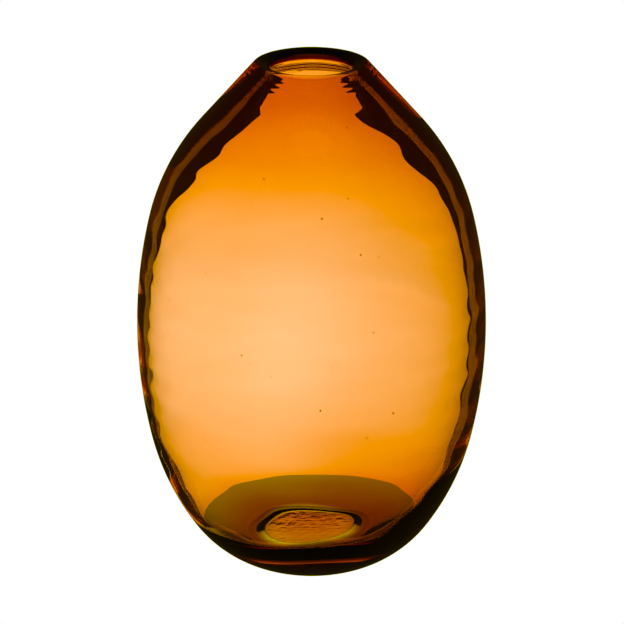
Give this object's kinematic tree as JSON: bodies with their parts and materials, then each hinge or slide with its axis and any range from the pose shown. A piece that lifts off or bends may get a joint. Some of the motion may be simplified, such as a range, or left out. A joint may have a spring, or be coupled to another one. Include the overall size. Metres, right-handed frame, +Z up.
{
  "type": "bud vase",
  "caption": "Mouth-blown glass bud vase: egg-shaped body in clear amber with a thick base and a small rounded mouth, for a single stem or a small bunch.",
  "frame": {"origin": "centre of the foot on the standing surface", "axes": "+Z up along the axis of the body and out of the mouth; +X to the right and +Y away from a viewer in front"},
  "size_m": [0.1282, 0.1282, 0.19],
  "materials": {
    "amber_glass": "fire-polished clear amber",
    "amber_glass_cracked": "clear amber with a rough cracked-off lower face"
  },
  "bodies": {
    "root": {"blown_body": "amber_glass", "pontil_wad": "amber_glass_cracked"}
  },
  "joints": []
}
